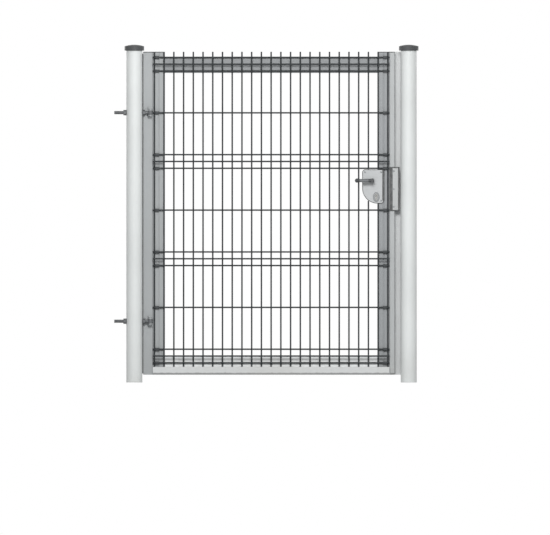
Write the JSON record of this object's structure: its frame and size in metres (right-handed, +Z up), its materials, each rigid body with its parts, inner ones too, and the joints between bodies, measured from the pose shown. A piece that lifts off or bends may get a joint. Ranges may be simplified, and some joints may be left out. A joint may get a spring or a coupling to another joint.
{
  "type": "pedestrian gate",
  "caption": "Single-leaf pedestrian gate: folded welded mesh in a rebated steel frame, hung on eye-bolt hinges between two round posts, with a lever lock and keep.",
  "frame": {"origin": "centre of the hinge post's foot, at ground level", "axes": "+X from the hinge post to the latch post, +Y to the back of the gate (the leaf opens to the front, towards -Y), +Z up"},
  "size_m": [1.5639, 0.1747, 1.736],
  "materials": {
    "post_paint": "pale grey powder coat over steel tube",
    "frame_paint": "mid grey powder coat over steel",
    "wire_paint": "dark grey powder coat over welded wire",
    "clip_paint": "dark grey painted steel",
    "black_plastic": "moulded plastic, fine grained",
    "stop_rubber": "matt rubber",
    "lever_coat": "dark grey powder coat over aluminium",
    "cylinder_brass": "nickelled brass, satin",
    "lock_aluminium": "brushed and anodised",
    "bolt_coat": "dull dark coat on threaded steel",
    "zinc_plate": "zinc plated steel, dull"
  },
  "bodies": {
    "posts": {"hinge_post": "post_paint", "latch_post": "post_paint", "hinge_post_cap": "black_plastic", "latch_post_cap": "black_plastic", "upper_hinge_bolt": "bolt_coat", "lower_hinge_bolt": "bolt_coat", "upper_hinge_nuts": "bolt_coat", "lower_hinge_nuts": "bolt_coat", "stop_profile": "post_paint", "keep": "zinc_plate", "stop_pads": "stop_rubber"},
    "leaf": {"hinge_stile": "frame_paint", "lock_stile": "frame_paint", "bottom_rail": "frame_paint", "top_rail": "frame_paint", "hinge_stile_plug": "black_plastic", "lock_stile_plug": "black_plastic", "mesh_panel": "wire_paint", "hinge_side_clips": "clip_paint", "lock_side_clips": "clip_paint", "upper_hinge_bracket": "frame_paint", "lower_hinge_bracket": "frame_paint", "upper_hinge_pin": "zinc_plate", "lower_hinge_pin": "zinc_plate", "lock_case": "zinc_plate", "front_lock_plate": "lock_aluminium", "back_lock_plate": "lock_aluminium", "lock_cylinder": "cylinder_brass", "guard_plate": "zinc_plate", "lock_faceplate": "zinc_plate", "latch_bolt": "zinc_plate"},
    "handle": {"front_lever": "lever_coat", "back_lever": "lever_coat", "spindle": "zinc_plate"}
  },
  "joints": [
    {"name": "leaf_swing", "type": "hinge", "parent": "posts", "child": "leaf", "pos_m": [0.08225, 0, 0.8], "axis": [0, 0, -1], "range_deg": [0, 135]},
    {"name": "handle_turn", "type": "hinge", "parent": "leaf", "child": "handle", "pos_m": [1.2235, 0.05, 1.038], "axis": [0, -1, 0], "range_deg": [0, 40], "stiffness_Nm_per_rad": 1.5, "springref_deg": -28.65}
  ]
}
